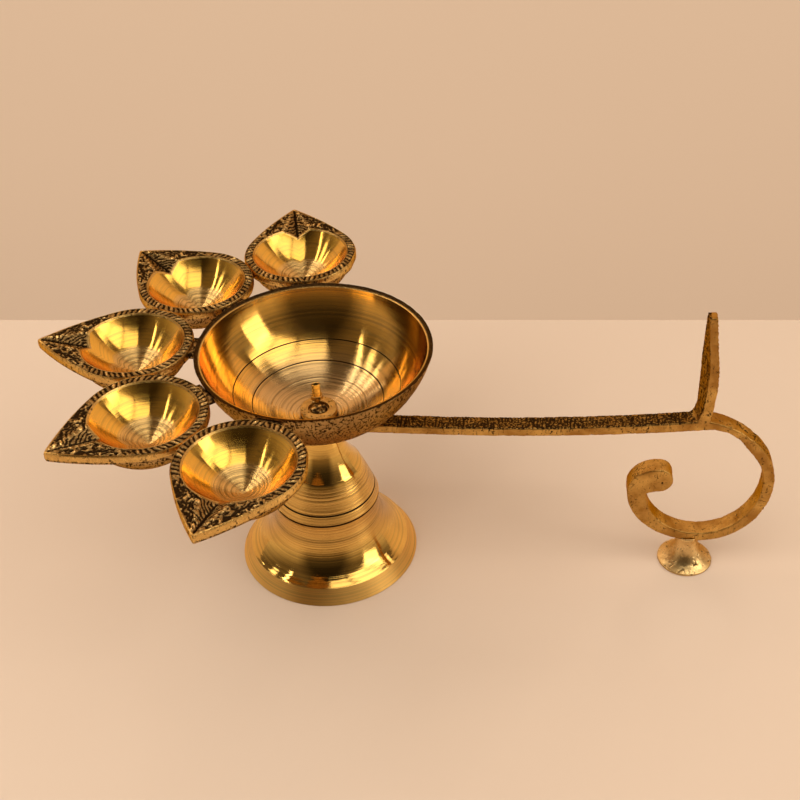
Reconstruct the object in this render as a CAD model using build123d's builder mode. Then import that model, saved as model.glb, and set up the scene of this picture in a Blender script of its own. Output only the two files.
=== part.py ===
from build123d import *
import os
from math import asin, cos, degrees, radians, sin, sqrt, tan

# Five-leaf aarti lamp of cast and turned brass. Lengths are in millimetres and angles in degrees.
# +Z is up and +X runs along the handle. The origin is on the pedestal's axis, at floor level.

# Pedestal: a turned bell, hollow from below, with a solid neck that is tapped for the stud
pedestal_height = 64.4
base_radius = 36.6
base_band_height = 6.0
base_band_draft = 3.6
base_ring_width = 3.4
waist_radius = 21.7
waist_height = 29.7
flare_hollow = 4.2
shoulder_radius = 15.4
shoulder_height = 45.6
shoulder_swell = 0.2
neck_radius = 8.0
neck_length = 3.6
neck_hollow = 1.3
bell_wall = 3.2
cavity_top_radius = 7.0
cavity_top_height = 44.0
ring_groove_gap = 3.9
ring_groove_radius = 0.35

# Stud: its lower end screws into the neck, its upper end is peened over in the wick holder
stud_radius = 3.0
stud_engagement = 14.0
peened_head_radius = 3.5
peened_head_height = 1.2
peened_head_rounding = 0.9
washer_radius = 3.8
washer_thickness = 0.7
thread_clearance = 0.05
stud_clearance = 0.1

# Handle: one flat casting with an eye, an arm, a thumb rest and a scroll
handle_width = 7.8
arm_thickness = 3.9
eye_radius = 9.0
eye_clearance = 0.3
arm_straight_length = 45.0
arm_level_end = 5.0
arm_rise = 6.6
thumb_rest_upper_depth = 6.6
thumb_rest_tip_depth = 4.8
thumb_rest_sections = (
    # height above the arm, lean towards the bowl, front width, back width, depth
    (-1.0, 0.6, 5.0, 7.6, handle_width),
    (1.5, 0.4, 4.4, 6.0, handle_width),
    (5.0, -0.1, 4.0, 5.7, handle_width),
    (15.0, -0.7, 4.1, 6.5, handle_width),
    (24.0, -0.3, 3.6, 6.4, handle_width),
    (36.0, 1.4, 3.4, 4.8, thumb_rest_upper_depth),
    (46.2, 2.6, 3.2, 3.6, thumb_rest_tip_depth),
)
scroll_x = 151.0
scroll_z = 44.0
scroll_reach_right = 27.4
scroll_reach_left = 29.2
scroll_drop = 30.6
scroll_shoulder_x = 18.3
scroll_shoulder_z = 20.9
scroll_arch_fall = 0.2
scroll_side_thickness = 4.4
scroll_bottom_thickness = 4.2
scroll_tail_thickness = 7.6
scroll_tail_z = 39.0
curl_left_reach = 12.2
curl_right_reach = 5.5
curl_rise = 11.3
curl_height = 11.2
curl_notch_angle = 3.0

# Handle foot: a flared foot with a tenon that is set into the scroll, a little before its lowest point
foot_setback = 2.7
foot_radius = 11.1
foot_rim_height = 1.0
foot_neck_radius = 4.9
foot_hollow = 2.5
foot_edge = 0.5
foot_saddle = 1.4
tenon_radius = 2.0
tenon_depth = 2.6

# Bowl: a spherical dish on the handle's eye
bowl_rim_radius = 45.5
bowl_depth = 34.2
bowl_seat_flat = 0.5
bowl_wall = 2.0
bowl_rim_slope = 1.0
bowl_ring_radii = (32.3, 25.8)
bowl_ring_groove_radius = 0.3

# Wick holder: a round boss on the bowl's floor, with a socket, and a spout behind it for the leaning tube
holder_radius = 7.3
holder_height = 3.6
socket_radius = 4.1
socket_depth = 1.9
spout_x = -1.5
spout_y = 5.6
spout_height = 1.8
spout_root_radius = 2.2
spout_tip_radius = 2.4
wick_mouth_x = -1.9
wick_mouth_y = 7.2
wick_mouth_height = 6.1
wick_tube_radius = 1.75
wick_tube_bore = 1.35
wick_tube_length = 7.0

# Leaf cups: pointed leaves in a fan opposite the handle, level with the bowl's rim
cup_count = 5
cup_circle_radius = 70.2
cup_spacing = 38.6
leaf_radius = 23.5
leaf_reach = 37.8
leaf_blend_angle = 60.0
leaf_tip_radius = 0.8
leaf_thickness = 3.8
recess_radius = 19.7
recess_depth = 14.2
recess_belly_radius = 12.3
recess_belly_depth = 10.5
underside_radius = 20.8
underside_depth = 17.6
valley_depth = 3.0
valley_slope_width = 1.9
lug_width = 11.0
lug_height = 2.6
lug_drop = 1.0
braze_gap = 0.02

# Heights that follow from the stack: neck, eye, bowl
eye_top = pedestal_height + arm_thickness
rim_height = eye_top + bowl_depth
sphere_depth = bowl_depth + bowl_seat_flat
sphere_radius = (bowl_rim_radius**2 + sphere_depth**2) / (2 * sphere_depth)
sphere_z = rim_height - sphere_depth + sphere_radius
inner_sphere_radius = sphere_radius - bowl_wall
bowl_floor = sphere_z - inner_sphere_radius
holder_top = bowl_floor + holder_height
socket_floor = holder_top - socket_depth
head_seat = socket_floor + washer_thickness

os.makedirs("parts", exist_ok=True)


def save(builder, name):
    builder.part.label = name
    export_step(builder.part, f"parts/{name}.step")


# Pedestal: half profile turned about the axis, with two fine grooves at the waist
waist = (waist_radius, waist_height)
shoulder_top = (shoulder_radius, shoulder_height)
neck_root = (neck_radius, pedestal_height - neck_length)
band_top = (base_radius - base_band_draft, base_band_height)
ring_inside = base_radius - base_ring_width
inner_waist = (waist_radius - bell_wall, waist_height)

with BuildPart() as pedestal:
    with BuildSketch(Plane.XZ):
        with BuildLine():
            Polyline((0, 0), (base_radius, 0), band_top)
            SagittaArc(band_top, waist, flare_hollow)
            shoulder_arc = SagittaArc(waist, shoulder_top, -shoulder_swell)
            SagittaArc(shoulder_top, neck_root, neck_hollow)
            Polyline(neck_root, (neck_radius, pedestal_height), (0, pedestal_height), (0, 0))
        make_face()
        with BuildLine():
            Line((0, 0), (ring_inside, 0))
            SagittaArc((ring_inside, 0), inner_waist, flare_hollow)
            Polyline(inner_waist, (cavity_top_radius, cavity_top_height), (0, cavity_top_height), (0, 0))
        make_face(mode=Mode.SUBTRACT)
    revolve(axis=Axis.Z)
    upper_ring = shoulder_arc @ (ring_groove_gap / shoulder_arc.length)
    for ring_radius, ring_height in (waist, (upper_ring.X, upper_ring.Y)):
        with Locations((0, 0, ring_height)):
            Torus(ring_radius, ring_groove_radius, mode=Mode.SUBTRACT)
    with Locations((0, 0, pedestal_height)):
        Hole(stud_radius + thread_clearance)
save(pedestal, "pedestal")


# Stud with its peened head
with BuildPart() as stud:
    with BuildSketch(Plane.XY.offset(pedestal_height - stud_engagement)):
        Circle(stud_radius)
    extrude(amount=head_seat - pedestal_height + stud_engagement)
    with BuildSketch(Plane.XY.offset(head_seat)):
        Circle(peened_head_radius)
    extrude(amount=peened_head_height)
    fillet(stud.edges().sort_by(Axis.Z)[-1], peened_head_rounding)
save(stud, "stud")


# Washer under the peened head
with BuildPart() as rivet_washer:
    with BuildSketch(Plane.XY.offset(socket_floor)):
        Circle(washer_radius)
        Circle(stud_radius + stud_clearance, mode=Mode.SUBTRACT)
    extrude(amount=washer_thickness)
save(rivet_washer, "rivet_washer")


# Bowl: a spherical dish with a flat seat, a sloping rim and two engraved circles inside
rim_inside_z = rim_height - bowl_rim_slope
seat_angle = degrees(asin((eye_top - sphere_z) / sphere_radius))
rim_angle = degrees(asin((rim_height - sphere_z) / sphere_radius))
rim_inside_angle = degrees(asin((rim_inside_z - sphere_z) / inner_sphere_radius))

with BuildPart() as bowl:
    with BuildSketch(Plane.XZ):
        with BuildLine():
            outside = CenterArc((0, sphere_z), sphere_radius, seat_angle, rim_angle - seat_angle)
            inside = CenterArc((0, sphere_z), inner_sphere_radius, -90, rim_inside_angle + 90)
            Line(outside @ 1, inside @ 1)
            Polyline(outside @ 0, (0, eye_top), inside @ 0)
        make_face()
    revolve(axis=Axis.Z)
    for ring_radius in bowl_ring_radii:
        with Locations((0, 0, sphere_z - sqrt(inner_sphere_radius**2 - ring_radius**2))):
            Torus(ring_radius, bowl_ring_groove_radius, mode=Mode.SUBTRACT)
    with Locations((0, 0, bowl_floor)):
        Hole(stud_radius + stud_clearance)
save(bowl, "bowl")


# Wick holder: a boss with a leaning spout, bored by the socket and seated on the bowl's floor
tube_root = Vector(spout_x, spout_y, holder_top)
wick_mouth = Vector(wick_mouth_x, wick_mouth_y, holder_top + wick_mouth_height)
tube_run = wick_mouth - tube_root
tube_plane = Plane(origin=wick_mouth, z_dir=tube_run)
spout_tip = tube_root + tube_run * (spout_height / wick_mouth_height)

with BuildPart() as wick_holder:
    with BuildSketch(Plane.XY.offset(eye_top)):
        Circle(holder_radius)
    extrude(amount=holder_top - eye_top)
    with BuildSketch(Plane.XY.offset(eye_top)):
        with Locations((spout_x, spout_y)):
            Circle(spout_root_radius)
    with BuildSketch(Plane.XY.offset(spout_tip.Z)):
        with Locations((spout_tip.X, spout_tip.Y)):
            Circle(spout_tip_radius)
    loft()
    with BuildSketch(Plane.XY.offset(socket_floor)):
        Circle(socket_radius)
    extrude(amount=socket_depth + spout_height, mode=Mode.SUBTRACT)
    with Locations((0, 0, sphere_z)):
        Sphere(inner_sphere_radius - braze_gap, mode=Mode.INTERSECT)
    with Locations((0, 0, socket_floor)):
        Hole(stud_radius + stud_clearance)
    with Locations(tube_plane):
        Hole(wick_tube_radius + braze_gap, depth=wick_tube_length)
save(wick_holder, "wick_holder")


# Wick tube, leaning back in the spout
with BuildPart() as wick_tube:
    with BuildSketch(tube_plane):
        Circle(wick_tube_radius)
        Circle(wick_tube_bore, mode=Mode.SUBTRACT)
    extrude(amount=-wick_tube_length)
save(wick_tube, "wick_tube")


# Leaf cups: a leaf-shaped plate on a round underside, with a lug to the bowl and a turned recess
half_spacing = cup_spacing / 2
fan_apex_x = braze_gap / sin(radians(half_spacing)) - cup_circle_radius
fan_side = 2 * (cup_circle_radius + leaf_reach)
blend_x = leaf_radius * cos(radians(leaf_blend_angle))
blend_y = leaf_radius * sin(radians(leaf_blend_angle))
blend_tangent = (sin(radians(leaf_blend_angle)), -cos(radians(leaf_blend_angle)))
bulge_depth = underside_depth - leaf_thickness
lug_length = cup_circle_radius - leaf_radius / 2 - bowl_rim_radius * cos(radians(half_spacing))

for number in range(1, cup_count + 1):
    bearing = radians(180 + (number - (cup_count + 1) / 2) * cup_spacing)
    outward = Vector(cos(bearing), sin(bearing), 0)
    centre = outward * cup_circle_radius + Vector(0, 0, rim_height)
    leaf_plane = Plane(origin=centre, x_dir=outward, z_dir=(0, 0, 1))
    section_plane = Plane(origin=centre, x_dir=outward, z_dir=outward.cross(Vector(0, 0, 1)))
    cup_axis = Axis(centre, (0, 0, 1))

    with BuildPart() as leaf_cup:
        with BuildSketch(leaf_plane):
            Circle(leaf_radius)
            with BuildLine():
                upper_side = TangentArc((blend_x, blend_y), (leaf_reach, 0), tangent=blend_tangent)
                lower_side = mirror(upper_side, about=Plane.XZ)
                Line(upper_side @ 0, lower_side @ 0)
            make_face()
            fillet(vertices().sort_by(Axis.X)[-1], leaf_tip_radius)
            with BuildLine():
                Polyline(
                    (fan_apex_x, 0),
                    (fan_apex_x + fan_side, fan_side * tan(radians(half_spacing))),
                    (fan_apex_x + fan_side, -fan_side * tan(radians(half_spacing))),
                    close=True,
                )
            make_face(mode=Mode.INTERSECT)
        extrude(amount=-leaf_thickness)
        with BuildSketch(leaf_plane.offset(-lug_drop)):
            with Locations((-leaf_radius / 2, 0)):
                Rectangle(lug_length, lug_width, align=(Align.MAX, Align.CENTER))
        extrude(amount=-lug_height)
        with BuildSketch(section_plane):
            with BuildLine():
                Polyline((0, -underside_depth), (0, -leaf_thickness), (underside_radius, -leaf_thickness))
                EllipticalCenterArc((0, -leaf_thickness), underside_radius, bulge_depth, 270, arc_size=90)
            make_face()
        revolve(axis=cup_axis)
        with Locations((0, 0, sphere_z)):
            Sphere(sphere_radius + braze_gap, mode=Mode.SUBTRACT)
        with BuildSketch(section_plane):
            with BuildLine():
                Polyline((0, -recess_depth), (0, 0), (recess_radius, 0))
                Bezier((recess_radius, 0), (recess_belly_radius, -recess_belly_depth), (0, -recess_depth))
            make_face()
        revolve(axis=cup_axis, mode=Mode.SUBTRACT)
        valley_start = leaf_plane.from_local_coords((recess_radius, 0, -valley_depth))
        valley_end = leaf_plane.from_local_coords((leaf_reach, 0, 0))
        valley_run = valley_end - valley_start
        with BuildSketch(Plane(origin=valley_start - valley_run, x_dir=leaf_plane.y_dir, z_dir=valley_run)):
            with BuildLine():
                Polyline(
                    (0, 0),
                    (valley_slope_width * 2 * valley_depth, 2 * valley_depth),
                    (-valley_slope_width * 2 * valley_depth, 2 * valley_depth),
                    close=True,
                )
            make_face()
        extrude(amount=2 * valley_run.length, mode=Mode.SUBTRACT)
    save(leaf_cup, f"leaf_cup_{number}")


# Handle: arm and scroll cut from one flat outline, with the eye and the thumb rest joined to it
arm_end_x = scroll_x - arm_level_end
arm_end_top = eye_top + arm_rise
arm_end_bottom = pedestal_height + arm_rise
foot_x = scroll_x - foot_setback
scroll_bottom = scroll_z - scroll_drop
inner_right = scroll_reach_right - scroll_side_thickness
inner_left = scroll_reach_left - scroll_tail_thickness
inner_drop = scroll_drop - scroll_bottom_thickness
tail_drop = scroll_tail_z - scroll_bottom
inner_tail_drop = tail_drop - scroll_bottom_thickness
shoulder_outside = (scroll_x + scroll_shoulder_x, scroll_z + scroll_shoulder_z)
shoulder_step = scroll_side_thickness * cos(radians(45))
shoulder_inside = (shoulder_outside[0] - shoulder_step, shoulder_outside[1] - shoulder_step)
curl_x = scroll_x - scroll_reach_left + curl_left_reach
curl_z = scroll_tail_z + curl_rise - curl_height / 2

with BuildPart() as handle:
    with BuildSketch(Plane.XZ):
        with BuildLine():
            Polyline(
                (arm_straight_length, pedestal_height),
                (0, pedestal_height),
                (0, eye_top),
                (arm_straight_length, eye_top),
            )
            arm_top = TangentArc((arm_straight_length, eye_top), (arm_end_x, arm_end_top), tangent=(1, 0))
            Line(arm_top @ 1, (scroll_x, arm_end_top))
            Spline(
                (scroll_x, arm_end_top),
                shoulder_outside,
                (scroll_x + scroll_reach_right, scroll_z),
                tangents=((1, -scroll_arch_fall), (0, -1)),
            )
            EllipticalCenterArc((scroll_x, scroll_z), scroll_reach_right, scroll_drop, 0, arc_size=-90)
            EllipticalCenterArc((scroll_x, scroll_tail_z), scroll_reach_left, tail_drop, 270, arc_size=-90)
            EllipticalCenterArc((curl_x, scroll_tail_z), curl_left_reach, curl_rise, 180, arc_size=-90)
            curl_end = EllipticalCenterArc(
                (curl_x, curl_z), curl_right_reach, curl_height / 2, 90, arc_size=-180
            )
            inner_tail = EllipticalCenterArc(
                (scroll_x, scroll_tail_z), inner_left, inner_tail_drop, 270, arc_size=curl_notch_angle - 90
            )
            Line(curl_end @ 1, inner_tail @ 1)
            EllipticalCenterArc((scroll_x, scroll_z), inner_right, inner_drop, 270, arc_size=90)
            Spline(
                (scroll_x + inner_right, scroll_z),
                shoulder_inside,
                (scroll_x, arm_end_bottom),
                tangents=((0, 1), (-1, 0)),
            )
            TangentArc((arm_straight_length, pedestal_height), (scroll_x, arm_end_bottom), tangent=(1, 0))
        make_face()
    extrude(amount=handle_width / 2, both=True)
    with BuildSketch(Plane.XY.offset(pedestal_height)):
        Circle(eye_radius)
    extrude(amount=arm_thickness)
    for height, lean, front_width, back_width, depth in thumb_rest_sections:
        right_x = scroll_x - lean
        with BuildSketch(Plane.XY.offset(arm_end_top + height)):
            with BuildLine():
                Polyline(
                    (right_x - front_width, -depth / 2),
                    (right_x, -depth / 2),
                    (right_x, depth / 2),
                    (right_x - back_width, depth / 2),
                    close=True,
                )
            make_face()
    loft(ruled=True)
    with Locations((0, 0, eye_top)):
        Hole(stud_radius + eye_clearance, depth=arm_thickness)
    with BuildSketch(Plane.XY):
        with Locations((foot_x, 0)):
            Circle(tenon_radius)
    extrude(amount=scroll_bottom + tenon_depth, mode=Mode.SUBTRACT)
save(handle, "handle")


# Handle foot: a flared foot whose neck is cut to the scroll, with its tenon in the scroll's hole
foot_neck = (foot_neck_radius, scroll_bottom)
foot_rim = (foot_radius, foot_rim_height)

with BuildPart() as handle_foot:
    with BuildSketch(Plane(origin=(foot_x, 0, 0), x_dir=(1, 0, 0), z_dir=(0, -1, 0))):
        with BuildLine():
            Polyline((0, 0), (foot_radius - foot_edge, 0), (foot_radius, foot_edge), foot_rim)
            SagittaArc(foot_rim, foot_neck, foot_hollow)
            Polyline(
                foot_neck,
                (foot_neck_radius, scroll_bottom + foot_saddle),
                (tenon_radius, scroll_bottom + foot_saddle),
                (tenon_radius, scroll_bottom + tenon_depth),
                (0, scroll_bottom + tenon_depth),
                (0, 0),
            )
        make_face()
    revolve(axis=Axis((foot_x, 0, 0), (0, 0, 1)))
    add(handle.part, mode=Mode.SUBTRACT)
save(handle_foot, "handle_foot")
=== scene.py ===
# %% [markdown]
# # A five-leaf aarti lamp in brass
#
# This lamp is carried by its handle while wicks burn in the bowl and in the five leaf cups. It is made
# the way a small foundry makes it: the bell, the bowl and the cups' hollows are turned on a lathe and
# shine in rings, the leaf faces are cast in relief and left dark, and the handle is a plain casting,
# filed by hand. The lesson dresses each piece in turn. The solids of the frame give every size and
# place, so nothing is fitted by eye: a new piece is made where the solid stands, and then takes its
# place.

# %% Load the lamp as the frame
import math

import bpy
from mathutils import Matrix, Vector, noise
from mathutils.kdtree import KDTree


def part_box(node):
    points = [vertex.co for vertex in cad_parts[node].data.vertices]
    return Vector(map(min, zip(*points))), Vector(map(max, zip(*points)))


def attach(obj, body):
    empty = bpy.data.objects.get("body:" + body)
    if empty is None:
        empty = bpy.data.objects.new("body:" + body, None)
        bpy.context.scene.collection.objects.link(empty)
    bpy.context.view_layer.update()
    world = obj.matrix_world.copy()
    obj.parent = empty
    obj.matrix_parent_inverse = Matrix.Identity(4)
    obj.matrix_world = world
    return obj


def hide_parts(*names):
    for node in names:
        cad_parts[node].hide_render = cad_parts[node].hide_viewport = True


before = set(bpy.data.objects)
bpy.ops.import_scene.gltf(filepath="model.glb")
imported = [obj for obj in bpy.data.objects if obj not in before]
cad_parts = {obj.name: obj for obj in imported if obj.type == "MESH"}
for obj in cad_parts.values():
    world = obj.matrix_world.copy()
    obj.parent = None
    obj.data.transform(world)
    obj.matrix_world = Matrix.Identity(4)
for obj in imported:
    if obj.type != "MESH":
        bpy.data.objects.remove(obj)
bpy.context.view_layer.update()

MM = 0.001
MERGE_DISTANCE = 0.002 * MM
scene = bpy.context.scene
bpy.ops.object.select_all(action="DESELECT")


def box_in_mm(node):
    low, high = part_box(node)
    return low / MM, high / MM


# %% [markdown]
# ## Tools of the lathe
#
# A turned piece is one outline spun round an axis. The outline could be drawn as a curve and given a
# Screw modifier. Here it is drawn as a maker scribes it, point after point with Extrude, and then spun
# in edit mode, because each point of the outline is then a known ring of the mesh. Outlines are in
# millimetres, as (radius, height), and run with the metal on their left, so a groove always cuts to the
# left.


# %% Outlines
def arc(start, end, hollow, count):
    """Points after start, on an arc to end that bows into the metal by hollow, or out of it if negative."""
    start = Vector(start)
    end = Vector(end)
    chord = end - start
    left = Vector((-chord.y, chord.x)).normalized()
    radius = (chord.length_squared / 4 + hollow**2) / (2 * hollow)
    centre = (start + end) / 2 + left * (hollow - radius)
    half_turn = math.asin(chord.length / 2 / abs(radius))
    points = []
    for step in range(1, count + 1):
        turn = half_turn * (2 * step / count - 1)
        along = chord.normalized() * abs(radius) * math.sin(turn)
        points.append(centre + left * radius * math.cos(turn) + along)
    return points


def notched(points, index, half_width, depth):
    """The points with a round groove cut at one of them."""
    here = points[index]
    along = (points[index + 1] - points[index - 1]).normalized()
    left = Vector((-along.y, along.x))
    groove = []
    for share in (-1, -0.5, 0, 0.5, 1):
        groove.append(here + along * half_width * share + left * depth * (1 - share**2))
    return points[:index] + groove + points[index + 1:]


def nearest(points, radius, height):
    return min(range(len(points)), key=lambda i: (points[i] - Vector((radius, height))).length)


# %% Spinning an outline
def spin_outline(name, outline, steps):
    """The outline extruded point by point from one vertex, then spun once round the vertical axis."""
    bpy.ops.object.select_all(action="DESELECT")
    bpy.ops.mesh.primitive_plane_add(size=MM)
    piece = bpy.context.object
    piece.name = name
    piece.data.name = name
    bpy.ops.object.mode_set(mode="EDIT")
    bpy.ops.mesh.merge(type="CENTER")
    bpy.ops.transform.translate(value=(outline[0].x * MM, 0, outline[0].y * MM))
    for here, there in zip(outline, outline[1:]):
        step = (there - here) * MM
        bpy.ops.mesh.extrude_vertices_move(TRANSFORM_OT_translate={"value": (step.x, 0, step.y)})
    bpy.ops.mesh.select_all(action="SELECT")
    bpy.ops.mesh.spin(steps=steps, angle=math.tau, center=(0, 0, 0), axis=(0, 0, 1))
    bpy.ops.mesh.select_all(action="SELECT")
    bpy.ops.mesh.remove_doubles(threshold=MERGE_DISTANCE)
    bpy.ops.mesh.normals_make_consistent(inside=False)
    bpy.ops.object.mode_set(mode="OBJECT")
    print(name, "spun:", len(piece.data.polygons), "faces")
    return piece


def rows_of(piece, outline):
    """For each vertex, the number of the outline point that it was spun from."""
    tree = KDTree(len(outline))
    for number, point in enumerate(outline):
        tree.insert((point.x, 0, point.y), number)
    tree.balance()
    rows = []
    for vertex in piece.data.vertices:
        place = vertex.co / MM
        rows.append(tree.find((math.hypot(place.x, place.y), 0, place.z))[1])
    return rows


def bearings_of(piece):
    return [math.atan2(vertex.co.y, vertex.co.x) for vertex in piece.data.vertices]


def lengths_along(outline):
    lengths = [0.0]
    for here, there in zip(outline, outline[1:]):
        lengths.append(lengths[-1] + (there - here).length)
    return lengths


# %% [markdown]
# The lathe's tool marks run round the piece, so the finish has to know, at each point, which way is
# along the outline and which way is round. A UV map says so: U is the length along the outline in
# millimetres, and V is the turn. Where the spin closes, V jumps from 1 back to 0, so each face takes
# its own turn as a start.


# %% The turning map
def map_turning(piece, outline, rows, bearings):
    """Adds the turning map: each vertex stems from a row of the outline and stands at a bearing."""
    lengths = lengths_along(outline)
    layer = piece.data.uv_layers.new(name="turning")
    on_axis = [math.hypot(vertex.co.x, vertex.co.y) < MERGE_DISTANCE for vertex in piece.data.vertices]
    loops = piece.data.loops
    for face in piece.data.polygons:
        first = next(v for v in face.vertices if not on_axis[v])
        for loop in face.loop_indices:
            vertex = loops[loop].vertex_index
            turn = 0.0
            if not on_axis[vertex]:
                turn = (bearings[vertex] - bearings[first]) / math.tau
                turn -= round(turn)
            layer.data[loop].uv = (lengths[rows[vertex]], bearings[first] / math.tau + turn)


# %% Values, finishes and places of a piece
def store(piece, name, values):
    """Keeps one number for each vertex, which a finish can read by its name."""
    layer = piece.data.attributes.new(name, "FLOAT", "POINT")
    layer.data.foreach_set("value", values)


def pick(piece):
    """Makes a piece the only selected one and the active one."""
    bpy.ops.object.select_all(action="DESELECT")
    piece.select_set(True)
    bpy.context.view_layer.objects.active = piece


def one_finish(face):
    """For pieces that have the same finish all over."""
    return 0


def finish_faces(piece, materials, material_of_face, sharp_angle=35):
    """Gives each face its material and keeps only edges over the angle, in degrees, sharp."""
    for material in materials:
        piece.data.materials.append(material)
    for face in piece.data.polygons:
        face.material_index = material_of_face(face)
    pick(piece)
    bpy.ops.object.shade_smooth_by_angle(angle=math.radians(sharp_angle))


def place_in_lamp(piece, body, node):
    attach(piece, body)
    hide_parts(node)


def smoothstep(low, high, value):
    share = min(1.0, max(0.0, (value - low) / (high - low)))
    return share * share * (3 - 2 * share)


def mix(first, second, share):
    return first + (second - first) * share


print("lathe ready, points merge below", MERGE_DISTANCE / MM, "mm")


# %% [markdown]
# ## Finishes
#
# All of the lamp is one brass, so the finishes differ in how it was worked. Turned brass has fine
# grooves that run round the piece. They blur a reflection across the grooves and keep it sharp along
# them, which gives the fans of light in the hollows. That is the shader's Anisotropic value, with the
# tangent taken from the turning map. Cast brass is rougher and holds dark oxide wherever polishing
# never reached, so its colour follows values that are stored on the mesh while the relief is carved.


# %% Small tools for shader nodes
def feed(tree, socket, value):
    if isinstance(value, bpy.types.NodeSocket):
        tree.links.new(value, socket)
    else:
        socket.default_value = value


def noise_value(tree, place, scale, detail=3.0):
    texture = tree.nodes.new("ShaderNodeTexNoise")
    texture.inputs["Scale"].default_value = scale
    texture.inputs["Detail"].default_value = detail
    tree.links.new(place, texture.inputs["Vector"])
    return texture.outputs["Fac"]


def stretched(tree, place, factors):
    product = tree.nodes.new("ShaderNodeVectorMath")
    product.operation = "MULTIPLY"
    product.inputs[1].default_value = factors
    tree.links.new(place, product.inputs[0])
    return product.outputs["Vector"]


def math_value(tree, operation, first, second):
    node = tree.nodes.new("ShaderNodeMath")
    node.operation = operation
    feed(tree, node.inputs[0], first)
    feed(tree, node.inputs[1], second)
    return node.outputs["Value"]


def remapped(tree, value, low, high, to_low, to_high):
    node = tree.nodes.new("ShaderNodeMapRange")
    feed(tree, node.inputs["Value"], value)
    for name, number in (("From Min", low), ("From Max", high), ("To Min", to_low), ("To Max", to_high)):
        node.inputs[name].default_value = number
    return node.outputs["Result"]


def mixed_colour(tree, share, first, second):
    node = tree.nodes.new("ShaderNodeMix")
    node.data_type = "RGBA"
    feed(tree, node.inputs["Factor"], share)
    for socket, colour in ((node.inputs[6], first), (node.inputs[7], second)):
        feed(tree, socket, colour if isinstance(colour, bpy.types.NodeSocket) else (*colour, 1.0))
    return node.outputs[2]


def stored_value(tree, name):
    node = tree.nodes.new("ShaderNodeAttribute")
    node.attribute_name = name
    return node.outputs["Fac"]


def object_place(tree):
    return tree.nodes.new("ShaderNodeTexCoord").outputs["Object"]


def bump(tree, shader, height, distance_mm, strength):
    node = tree.nodes.new("ShaderNodeBump")
    node.inputs["Strength"].default_value = strength
    node.inputs["Distance"].default_value = distance_mm * MM
    tree.links.new(height, node.inputs["Height"])
    tree.links.new(node.outputs["Normal"], shader.inputs["Normal"])


def new_metal(name):
    material = bpy.data.materials.new(name)
    material.use_nodes = True
    shader = material.node_tree.nodes["Principled BSDF"]
    shader.inputs["Metallic"].default_value = 1.0
    return material, material.node_tree, shader


# %% Turned brass
BRASS = (0.88, 0.55, 0.14)
BAND_BRASS = (0.92, 0.58, 0.17)
CLUSTER_STRETCH = (0.16, 0.0, 0)
BROAD_RING_STRETCH = (1.0, 0.6, 0)
FINE_RING_STRETCH = (3.2, 1.5, 0)
SMUDGES_PER_METRE = 70
STAIN_SHADE = 0.62
SCORE_SHADE = 0.38
RING_DEPTH_MM = 0.17
GROOVE_ANISOTROPY = 0.9


def shaded(colour, factor):
    return tuple(factor * channel for channel in colour)


def turned_brass(name, polished_colour, satin_colour, polished_rough, satin_rough, ring_strength):
    """Brass from the lathe. The stored value satin runs from 0, polished, to 1, as the tool left it."""
    material, tree, shader = new_metal(name)
    uv = tree.nodes.new("ShaderNodeUVMap")
    uv.uv_map = "turning"
    turning = uv.outputs["UV"]
    clusters = noise_value(tree, stretched(tree, turning, CLUSTER_STRETCH), 1.0, 1.0)
    broad_rings = noise_value(tree, stretched(tree, turning, BROAD_RING_STRETCH), 1.0, 2.0)
    fine_rings = noise_value(tree, stretched(tree, turning, FINE_RING_STRETCH), 1.0, 3.0)
    smudge = noise_value(tree, object_place(tree), SMUDGES_PER_METRE, 4.0)
    finish = stored_value(tree, "satin")
    colour = mixed_colour(tree, finish, polished_colour, satin_colour)
    stained = shaded(satin_colour, STAIN_SHADE)
    scored = shaded(satin_colour, SCORE_SHADE)
    cluster_share = remapped(tree, clusters, 0.38, 0.58, 0.35, 1.0)
    satin_share = remapped(tree, finish, 0.0, 1.0, 0.45, 1.0)
    in_cluster = math_value(tree, "MULTIPLY", cluster_share, satin_share)
    line_share = remapped(tree, broad_rings, 0.50, 0.60, 0.0, 0.8)
    line_share = math_value(tree, "MULTIPLY", line_share, in_cluster)
    colour = mixed_colour(tree, line_share, colour, scored)
    colour = mixed_colour(tree, remapped(tree, fine_rings, 0.52, 0.72, 0.0, 0.45), colour, stained)
    colour = mixed_colour(tree, remapped(tree, smudge, 0.55, 0.8, 0.0, 0.4), colour, stained)
    tree.links.new(colour, shader.inputs["Base Color"])
    rough = remapped(tree, finish, 0.0, 1.0, polished_rough, satin_rough)
    rough = math_value(tree, "ADD", rough, remapped(tree, fine_rings, 0.3, 0.7, -0.02, 0.04))
    rough = math_value(tree, "ADD", rough, remapped(tree, smudge, 0.5, 0.8, 0.0, 0.05))
    tree.links.new(rough, shader.inputs["Roughness"])
    shader.inputs["Anisotropic"].default_value = GROOVE_ANISOTROPY
    tangent = tree.nodes.new("ShaderNodeTangent")
    tangent.direction_type = "UV_MAP"
    tangent.uv_map = "turning"
    tree.links.new(tangent.outputs["Tangent"], shader.inputs["Tangent"])
    marked = math_value(tree, "MULTIPLY", broad_rings, remapped(tree, clusters, 0.42, 0.6, 0.6, 3.0))
    rings = math_value(tree, "ADD", marked, fine_rings)
    depth = math_value(tree, "MULTIPLY", rings, remapped(tree, finish, 0.0, 1.0, 0.16, 1.0))
    bump(tree, shader, depth, RING_DEPTH_MM, ring_strength)
    return material


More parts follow.
